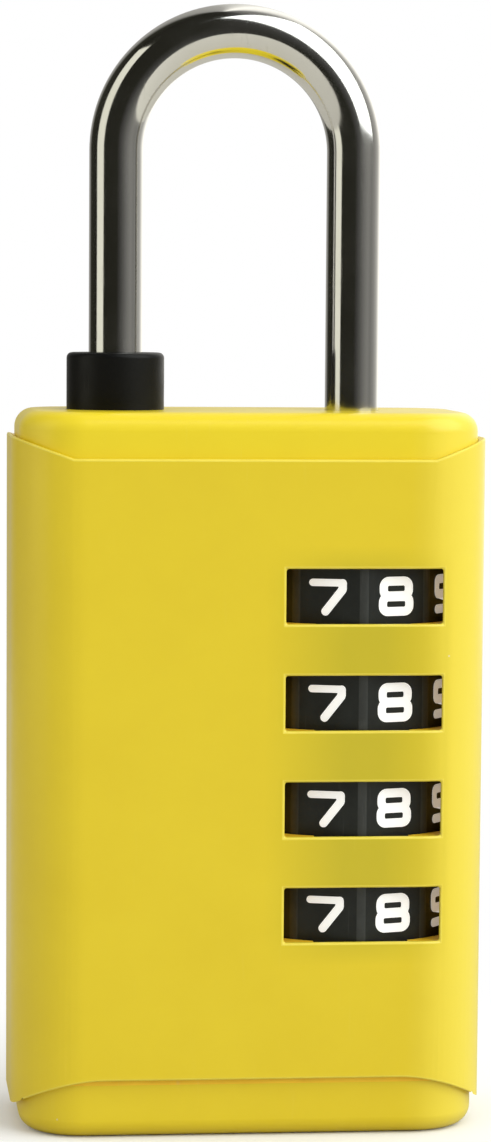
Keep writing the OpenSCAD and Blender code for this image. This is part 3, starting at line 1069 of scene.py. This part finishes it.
@dataclass
class Shackle:
    """The chromed bar: free leg, arch, and the captive leg with its locking fins.

    Attributes:
        sides: The number of points round the bar.
        arch_steps: The number of steps round the arch.
        tip: The rounding of the free leg's tip.
        fin_width: The width of a locking fin.
        fin_reach: How far a fin stands out from the leg.
        fin_heights: A fin's lowest and highest place, from the middle of its dial.
        toe_depth: How far the free leg reaches below the top cap's face.
        tail: The radius and the length of the pin that guides the lifting spring.
    """

    sides: int = 64
    arch_steps: int = 72
    tip: float = 0.45 * MM
    fin_width: float = 1.4 * MM
    fin_reach: float = 1.25 * MM
    fin_heights: tuple[float, float] = (-3.13 * MM, 0.45 * MM)
    toe_depth: float = 2.9 * MM
    tail: tuple[float, float] = (0.95 * MM, 2.8 * MM)

    def build(self) -> None:
        """Builds the shackle from a round bar that is extruded and spun."""
        low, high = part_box("shackle")
        toe_x, heel_x = middle("toe_collar")[0], middle("dial_1")[0]
        radius = (high.y - low.y) / 2
        arch_z = high.z - radius - (heel_x - toe_x) / 2
        toe_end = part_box("top_cap")[1].z - self.toe_depth
        neck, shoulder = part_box("dial_1")[1].z, low.z + self.tail[1]

        bar = add_rod("shackle_bar", (toe_x, 0, toe_end), radius, arch_z - toe_end, self.sides)
        foot = toe_end + NEAR
        round_edges(bar, lambda a, b: a.z < foot and b.z < foot, self.tip, 5)
        self.pull(bar, arch_z, lambda: self.spin(toe_x, heel_x, arch_z))
        for start, end in ((arch_z, neck), (neck, shoulder)):
            drop = {"value": Vector((0, 0, end - start))}
            step = partial(bpy.ops.mesh.extrude_region_move, TRANSFORM_OT_translate=drop)
            self.pull(bar, start, step, heel_x)
        merge_and_face_out(bar)
        half = self.fin_width / 2
        for index in range(1, Dials.count + 1):
            z = middle(f"dial_{index}")[2]
            foot, head = (z + height for height in self.fin_heights)
            reach = heel_x - radius - self.fin_reach
            fin = add_block("fin", (reach, -half, foot), (heel_x, half, head))
            combine(bar, fin, Blend.ADD)
        tail, length = self.tail
        combine(bar, add_rod("tail", (heel_x, 0, low.z), tail, length + MM, 48), Blend.ADD)
        shade(bar, SHARP)
        hand_over(bar, "shackle", ["shackle"], [CHROME])
        dress("lift_washer", SPRING_STEEL)
        self.lift_coil(heel_x)

    def lift_coil(self, heel_x: float) -> None:
        """Makes the lifting spring's coil, which reaches from the case to the shackle's washer."""
        coil = copy_coil("lift_spring", "lift_coil")
        hand_over(coil, None, ["lift_spring"], [SPRING_STEEL])
        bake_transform(coil)

    def pull(
        self, bar: Piece, height: float, step: Callable[[], object], x: float | None = None
    ) -> None:
        """Selects the bar's end face at a height and runs an edit-mode step on it.

        Args:
            bar: The bar.
            height: The height of the end face.
            step: The operator that extrudes or spins it.
            x: The place of the face along X, where two faces share the height.
        """

        def is_end(centre: Vector, normal: Vector) -> bool:
            """Tests whether a face is the end face."""
            near_x = x is None or abs(centre.x - x) < MM
            return abs(centre.z - height) < NEAR and abs(normal.z) > 0.9 and near_x

        select_faces(bar, is_end)
        edit(bar, SelectBy.FACES, step)

    def spin(self, toe_x: float, heel_x: float, arch_z: float) -> None:
        """Spins the selected end through the arch."""
        center = ((toe_x + heel_x) / 2, 0, arch_z)
        bpy.ops.mesh.spin(steps=self.arch_steps, angle=math.pi, center=center, axis=(0, -1, 0))


# ---------------------------------------------------------------------------- dials


@dataclass(frozen=True)
class Stroke:
    """One pen stroke of a digit.

    Attributes:
        points: Its corners, in units of the digit's half width and half height.
        closed: Whether it returns to its start.
        pen: The pen's width here, as a share of the usual one.
        bend: The radius of its corners, as a share of the usual one.
    """

    points: tuple[tuple[float, float], ...]
    closed: bool = False
    pen: float = 1.0
    bend: float = 1.0


DIGITS: dict[int, tuple[Stroke, ...]] = {
    0: (Stroke(((-1, 1), (1, 1), (1, -1), (-1, -1)), closed=True),),
    1: (Stroke(((-0.55, 0.62), (0.1, 1), (0.1, -1))),),
    2: (Stroke(((-1, 1), (1, 1), (1, 0), (-1, 0), (-1, -1), (1, -1))),),
    3: (Stroke(((-1, 1), (1, 1), (1, -1), (-1, -1))), Stroke(((-0.4, 0), (1, 0)))),
    4: (Stroke(((-0.35, 1), (-1, -0.35), (1, -0.35))), Stroke(((0.55, 0.3), (0.55, -1)))),
    5: (Stroke(((1, 1), (-1, 1), (-1, 0.05), (1, 0.05), (1, -1), (-1, -1))),),
    6: (Stroke(((0.95, 1), (-1, 1), (-1, -1), (1, -1), (1, 0), (-0.9, 0))),),
    7: (
        Stroke(((-1.19, 0.9), (0.85, 0.9)), pen=0.82),
        Stroke(((0.87, 0.88), (0.87, 0.46), (-0.3, -1)), pen=0.94),
    ),
    8: (
        Stroke(((-0.95, 1), (0.95, 1), (0.95, 0.03), (-0.95, 0.03)), closed=True, bend=1.8),
        Stroke(((-1, -0.03), (1, -0.03), (1, -1), (-1, -1)), closed=True, bend=1.8),
    ),
    9: (Stroke(((0.9, 0), (-1, 0), (-1, 1), (1, 1), (1, -1), (-0.95, -1))),),
}


@dataclass
class Dials:
    """Four dials with ten digits each.

    Attributes:
        facet: How far the digits' flats lie from the axis.
        ridge: The rounding of the ridges between the digits.
        rim: The bevel on both rims.
        edge: The width of the other broken edges.
        strip: The widest face that counts as part of a ridge.
        strip_depth: How far inside the flats such a face may lie.
        bore: The radius of the hole through the dial.
        recess: The radius of the room for the clutch's teeth.
        lip: The height of the ring above that room.
        tooth: The width of the slots in that ring.
        half_width: Half the width of a digit, to the middle of its strokes.
        half_height: Half its height, to the middle of its strokes.
        drop: How far the digits are printed below the middle of the dial.
        travel: How far the clutches are pressed down to set a new combination; not used.
        pen: The width of a stroke.
        bend: The radius of a stroke's corners.
        ink: The height of the digits above the flats.
        center: The middle of the top dial.
    """

    count = 4
    digits = 10
    shown = 7.5
    facet: float = 6.75 * MM
    ridge: float = 0.3 * MM
    rim: float = 0.25 * MM
    edge: float = 0.05 * MM
    strip: float = 1.5 * MM
    strip_depth: float = 0.4 * MM
    bore: float = 4.05 * MM
    recess: float = 4.65 * MM
    lip: float = 1.0 * MM
    tooth: float = 1.4 * MM
    half_width: float = 0.92 * MM
    half_height: float = 0.95 * MM
    drop: float = 0.06 * MM
    travel: float = 1.2 * MM
    pen: float = 0.56 * MM
    bend: float = 0.19 * MM
    ink: float = 0.03 * MM
    center: Vector = field(default_factory=lambda: Vector(middle("dial_1")))

    def build(self) -> None:
        """Builds the top dial and its digits, and copies both for the other dials."""
        low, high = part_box("dial_1")
        dial = self.dial(high.z - low.z)
        digits = self.all_digits()
        for index in range(1, self.count + 1):
            body = f"dial_{index}"
            shift = Vector(middle(body)) - self.center
            wheel = copy_piece(dial, f"digit_{body}", shift)
            hand_over(wheel, body, [body], [DIAL_PLASTIC, DIAL_RIDGE_HIGHLIGHT])
            ink = copy_piece(digits, f"{body}_digits", shift)
            hand_over(ink, body, [], [DIGIT_INK])
            dress(f"clutch_{index}", CLUTCH_BRASS)
        bpy.data.objects.remove(dial)
        bpy.data.objects.remove(digits)
        dress("detent_spring", SPRING_STEEL)
        dress("thrust_washer", SPRING_STEEL)
        self.reset_coil()

    def reset_coil(self) -> None:
        """Makes the reset spring's coil and gives it to the case; the coil keeps its length."""
        coil = copy_coil("reset_spring", "reset_coil")
        hand_over(coil, "case", ["reset_spring"], [SPRING_STEEL])
        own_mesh(coil)

    def dial(self, height: float) -> Piece:
        """Makes one dial: a ten-sided ring with rounded ridges, broken rims and toothed bore.

        Args:
            height: The dial's height.

        Returns:
            The dial.
        """
        x, y, z = self.center
        step = 2 * math.pi / self.digits
        foot = Vector((x, y, z - height / 2))
        dial = add_rod("dial", foot, self.facet / math.cos(step / 2), height, self.digits)
        round_edges(dial, upright, self.ridge, 4)
        ends = [at_height(z) for z in (foot.z, foot.z + height)]
        round_edges(dial, lambda a, b: any(at_end(a, b) for at_end in ends), self.rim, 3)
        below = foot - Vector((0, 0, MM))
        combine(dial, add_rod("bore", below, self.bore, height + 2 * MM), Blend.CUT)
        combine(dial, add_rod("recess", below, self.recess, height - self.lip + MM), Blend.CUT)
        slots = []
        half = self.tooth / 2
        for index in range(self.digits // 2):
            slot = add_block("slot", (-self.recess, -half, -height), (self.recess, half, height))
            turn = Matrix.Rotation((index + 0.5) * step, 4, "Z")
            slot.data.transform(Matrix.Translation(self.center) @ turn)
            slots.append(slot)
        comb = slots.pop(0)
        for slot in slots:
            combine(comb, slot, Blend.ADD)
        combine(dial, comb, Blend.CUT)
        break_edges(dial, self.edge, segments=2)
        self.mark_ridges(dial)
        shade(dial)
        return dial

    def mark_ridges(self, dial: Piece) -> None:
        """Puts the narrow outer faces of the ridges and rims in the second material slot, which
        paints their highlight.
        """
        open_slots(dial, 2)
        inside = self.facet - 2 * NEAR - self.strip_depth
        for face in dial.data.polygons:
            spot = face.center.xy - self.center.xy
            corners = [dial.data.vertices[i].co.xy for i in face.vertices]
            span = max((a - b).length for a in corners for b in corners)
            if spot.length > inside and span < self.strip:
                face.material_index = 1

    def all_digits(self) -> Piece:
        """Makes the ring of ten digits of the top dial."""
        made = []
        up = Vector((0, 0, 1))
        for number in range(self.digits):
            digit = self.digit(number)
            angle = math.radians((number - self.shown) * 360 / self.digits)
            across = Vector((math.cos(angle), math.sin(angle), 0))
            outwards = Vector((math.sin(angle), -math.cos(angle), 0))
            spot = self.center + outwards * self.facet - up * self.drop
            digit.data.transform(placed((across, up, outwards), spot))
            made.append(digit)
        return join(made, "digits")

    def digit(self, number: int) -> Piece:
        """Makes one digit lying flat on the XY plane, with its ink sunk a little below it.

        Args:
            number: The digit.

        Returns:
            The digit, as one closed solid.
        """
        parts = [self.stroke(stroke) for stroke in DIGITS[number]]
        digit = parts[0]
        for part in parts[1:]:
            combine(digit, part, Blend.ADD)
        digit.name = f"digit_{number}"
        shade(digit)
        return digit

    def stroke(self, stroke: Stroke) -> Piece:
        """Makes the flat ribbon of one pen stroke.

        Args:
            stroke: The stroke.

        Returns:
            A closed solid, twice as thick as the ink stands proud.
        """
        corners = [Vector((x * self.half_width, y * self.half_height)) for x, y in stroke.points]
        curve = bpy.data.curves.new("stroke", "CURVE")
        curve.dimensions = "2D"
        curve.fill_mode = "BOTH"
        curve.extrude = self.ink
        half, bend = self.pen * stroke.pen / 2, self.bend * stroke.bend
        for outline in ribbon(corners, half, bend, stroke.closed):
            spline = curve.splines.new("POLY")
            spline.points.add(len(outline) - 1)
            for point, spot in zip(spline.points, outline):
                point.co = (spot.x, spot.y, 0, 1)
            spline.use_cyclic_u = True
        activate(link(bpy.data.objects.new("stroke", curve)))
        bpy.ops.object.convert(target="MESH")
        piece = bpy.context.object
        merge_and_face_out(piece)
        return piece


def side_line(
    corners: list[Vector], distance: float, bend: float, closed: bool, steps: int = 8
) -> list[Vector]:
    """Draws the line beside another one, with rounded corners.

    Args:
        corners: The corners of the line that it follows.
        distance: How far it lies to the left of that line.
        bend: The radius of that line's own corners.
        closed: Whether both lines return to their start.
        steps: The number of steps in each rounded corner.

    Returns:
        The points of the line beside it.
    """
    count = len(corners)
    line = []
    for index, corner in enumerate(corners):
        first, last = not closed and index == 0, not closed and index == count - 1
        after = (corners[(index + 1) % count] - corner).normalized()
        before = (corner - corners[index - 1]).normalized()
        before, after = (after if first else before), (before if last else after)
        out = (Vector((-before.y, before.x)), Vector((-after.y, after.x)))
        spot = corner + (out[0] + out[1]) * (distance / (1 + out[0].dot(out[1])))
        if first or last:
            line.append(spot)
            continue
        left_turn = before.cross(after) > 0
        radius = max(bend - distance if left_turn else bend + distance, 0.1 * MM)
        half = (-before).angle(after) / 2
        hub = spot + (after - before).normalized() * (radius / math.sin(half))
        start = spot - before * (radius / math.tan(half)) - hub
        turn = (math.pi - 2 * half) * (1 if left_turn else -1)
        for step in range(steps + 1):
            spun = Matrix.Rotation(turn * step / steps, 2) @ start
            line.append(hub + spun)
    return line


def ribbon(
    corners: list[Vector], half: float, bend: float, closed: bool, cap_steps: int = 12
) -> list[list[Vector]]:
    """Outlines a band along a line, with rounded corners and round ends.

    Args:
        corners: The corners of the line.
        half: Half the band's width.
        bend: The radius of the line's corners.
        closed: Whether the line returns to its start.
        cap_steps: The number of steps round each end.

    Returns:
        One outline, or the outer and the inner outline of a closed line.
    """
    left = side_line(corners, half, bend, closed)
    right = side_line(corners, -half, bend, closed)
    if closed:
        return [left, right]
    ends = []
    turns = [Matrix.Rotation(-math.pi * k / cap_steps, 2) for k in range(1, cap_steps)]
    for spot, start in ((corners[-1], left[-1]), (corners[0], right[0])):
        ends.append([spot + turn @ (start - spot) for turn in turns])
    return [left + ends[0] + right[::-1] + ends[1]]


# ---------------------------------------------------------------------------- studio


class Seen(Enum):
    """What a light acts on."""

    BOTH = "both"
    GLOSS = "reflections"
    DIFFUSE = "surfaces"


@dataclass(frozen=True)
class Softbox:
    """One soft studio light.

    Attributes:
        name: Its name.
        azimuth: Its bearing from the front towards +X, in degrees.
        elevation: Its height above the horizon, in degrees.
        distance: Its distance from the object.
        width: Its width.
        height: Its height.
        power: Its power in watts.
        seen: Whether it lights surfaces, shows in reflections, or both.
        color: Its colour.
    """

    name: str
    azimuth: float
    elevation: float
    distance: float
    width: float
    height: float
    power: float
    seen: Seen = Seen.BOTH
    color: Color = (1.0, 1.0, 1.0)

    def place(self, target: Vector) -> None:
        """Adds the light, facing the target."""
        away = from_above(self.azimuth, self.elevation)
        lamp = bpy.data.lights.new(self.name, "AREA")
        lamp.shape = "RECTANGLE"
        lamp.size = self.width
        lamp.size_y = self.height
        lamp.energy = self.power
        lamp.color = self.color
        light = bpy.data.objects.new(self.name, lamp)
        light.location = target + away * self.distance
        light.rotation_euler = away.to_track_quat("Z", "Y").to_euler()
        light.visible_camera = False
        light.visible_glossy = self.seen is not Seen.DIFFUSE
        light.visible_diffuse = self.seen is not Seen.GLOSS
        link(light)


@dataclass
class Studio:
    """The pale floor, the lights, the surroundings and the camera.

    Attributes:
        target: The point that the lights and the camera aim at.
        distance: The camera's distance from it.
        azimuth: The camera's bearing from the front towards +X, in degrees.
        elevation: The camera's height above the horizon, in degrees.
        roll: The camera's roll, in degrees.
        lens: The camera's focal length in millimetres, on a 36 mm sensor.
        shift: The lens shift along X and Y.
        ambient: The strength of the surroundings' soft light.
        tint: The colour of the bright cards.
        dim_tint: The colour of the dark cards.
        dim: The brightness below which a card is dark.
        floor_radius: The floor's radius.
        floor_fade: How far from the middle the floor starts and ends its fade to white.
        floor_tone: The floor's colour as the camera sees it.
        floor_tint: The floor's colour as it lights the object.
        cards: The bearing in degrees and the brightness of each card that reflections show.
        lights: The studio's lights.
    """

    target: Vector = field(default_factory=lambda: Vector((0, 0, 30 * MM)))
    distance: float = 238.7 * MM
    azimuth: float = -6.04
    elevation: float = 5.38
    roll: float = 0.412
    lens: float = 117.24
    shift: tuple[float, float] = (0.0026, 0.0712)
    ambient: float = 0.72
    tint: Color = (1.0, 0.985, 0.92)
    dim_tint: Color = (1.0, 0.98, 0.68)
    dim: float = 0.04
    floor_radius: float = 300 * MM
    floor_fade: tuple[float, float] = (12 * MM, 45 * MM)
    floor_tone: Color = (0.93, 0.93, 0.93)
    floor_tint: Color = (0.56, 0.54, 0.475)
    cards: tuple[tuple[float, float], ...] = (
        *((-179, 0.45), (-155, 0.35), (-136, 0.03), (-100, 0.014)),
        *((0, 0.018), (14, 0.055), (28, 0.105), (47, 0.19), (62, 0.24), (78, 0.2)),
        *((97, 0.29), (120, 0.52), (140, 1.1), (162, 1.4), (179, 0.45)),
    )
    lights: tuple[Softbox, ...] = (
        Softbox("key", 58, 42, 0.6, 0.7, 0.7, 3.05, Seen.BOTH, (0.98, 1.02, 1.0)),
        Softbox("left_strip", -76, 12, 0.5, 0.3, 0.9, 0.75, Seen.GLOSS, (1.0, 0.99, 0.84)),
        Softbox("front_fill", 42, 18, 0.8, 0.4, 0.4, 0.85, Seen.DIFFUSE),
        Softbox("left_back", -115, 8, 0.6, 0.4, 0.4, 0.46, Seen.DIFFUSE),
    )

    def build(self) -> None:
        """Sets up the whole studio."""
        self.camera()
        for light in self.lights:
            light.place(self.target)
        self.floor()
        self.surroundings()
        bpy.context.scene.view_settings.view_transform = "Standard"

    def camera(self) -> None:
        """Adds the camera at its bearing, height and roll."""
        turn, roll = math.radians(self.azimuth), math.radians(self.roll)
        right = Vector((math.cos(turn), math.sin(turn), 0))
        back = from_above(self.azimuth, self.elevation)
        up = back.cross(right)
        axes = (
            right * math.cos(roll) + up * math.sin(roll),
            up * math.cos(roll) - right * math.sin(roll),
            back,
        )
        data = bpy.data.cameras.new("camera")
        data.sensor_width = 36.0
        data.lens = self.lens
        data.shift_x, data.shift_y = self.shift
        data.clip_start = 1 * MM
        data.clip_end = 20.0
        camera = link(bpy.data.objects.new("camera", data))
        camera.matrix_world = placed(axes, self.target + back * self.distance)
        bpy.context.scene.camera = camera

    def floor(self) -> None:
        """Adds a pale round floor that fades into the white surroundings."""
        bpy.ops.object.select_all(action="DESELECT")
        bpy.ops.mesh.primitive_circle_add(
            vertices=128, radius=self.floor_radius, fill_type="NGON", location=(0, 0, 0)
        )
        floor = settle(bpy.context.object, "floor")
        made = bpy.data.materials.new("floor")
        graph = new_graph(made)
        place = graph.add("ShaderNodeTexCoord").outputs["Object"]
        away = graph.add("ShaderNodeVectorMath", {0: place}, operation="LENGTH").outputs["Value"]
        seen = self.straight_rays(graph)[1]
        amount = graph.math("MULTIPLY", graph.remap(away, *self.floor_fade), seen)
        tone = graph.mix_color(seen, (*self.floor_tint, 1), (*self.floor_tone, 1))
        paper = graph.add("ShaderNodeBsdfDiffuse", {"Color": tone}).outputs[0]
        white = graph.add("ShaderNodeEmission", {"Color": WHITE, "Strength": 1.0}).outputs[0]
        surface = graph.add("ShaderNodeMixShader", {0: amount, 1: paper, 2: white})
        graph.add("ShaderNodeOutputMaterial", {"Surface": surface.outputs[0]})
        floor.data.materials.append(made)

    def straight_rays(self, graph: Graph) -> tuple[bpy.types.Node, Socket]:
        """Adds a Light Path node and the share of rays that come straight or through glass."""
        path = graph.add("ShaderNodeLightPath")
        straight = [path.outputs[f"Is {kind} Ray"] for kind in ("Camera", "Transmission")]
        return path, graph.math("MAXIMUM", *straight)

    def surroundings(self) -> None:
        """Sets the world: white to the camera, an even soft light, and cards in reflections."""
        world = bpy.data.worlds.new("surroundings")
        graph = new_graph(world)
        way = graph.add("ShaderNodeTexCoord").outputs["Generated"]
        axis = graph.add("ShaderNodeSeparateXYZ", {0: way})
        ahead = graph.math("MULTIPLY", axis.outputs[1], -1.0)
        bearing = graph.math("ARCTAN2", axis.outputs[0], ahead)
        card = graph.remap(bearing, -math.pi, math.pi)
        ramp = graph.add("ShaderNodeValToRGB", {"Fac": card})
        stops = ramp.color_ramp.elements
        for angle, level in self.cards:
            warmth = self.dim_tint if level < self.dim else self.tint
            stop = stops.new((angle + 180) / 360)
            stop.color = (*(level * share for share in warmth), 1)
        stops.remove(stops[0])
        stops.remove(stops[-1])
        path, seen = self.straight_rays(graph)
        even = (*(self.ambient,) * 3, 1)
        color = graph.mix_color(path.outputs["Is Glossy Ray"], even, ramp.outputs["Color"])
        color = graph.mix_color(seen, color, WHITE)
        light = graph.add("ShaderNodeBackground", {"Color": color, "Strength": 1.0})
        graph.add("ShaderNodeOutputWorld", {"Surface": light.outputs[0]})
        bpy.context.scene.world = world


def main() -> None:
    """Builds the studio and every sub-assembly in order."""
    logging.basicConfig(level=logging.INFO, format="%(name)s: %(message)s")
    for part in (Studio(), Case(), Collar(), Shackle(), Dials()):
        LOG.info("building %s", type(part).__name__.lower())
        part.build()


if __name__ == "__main__":
    main()
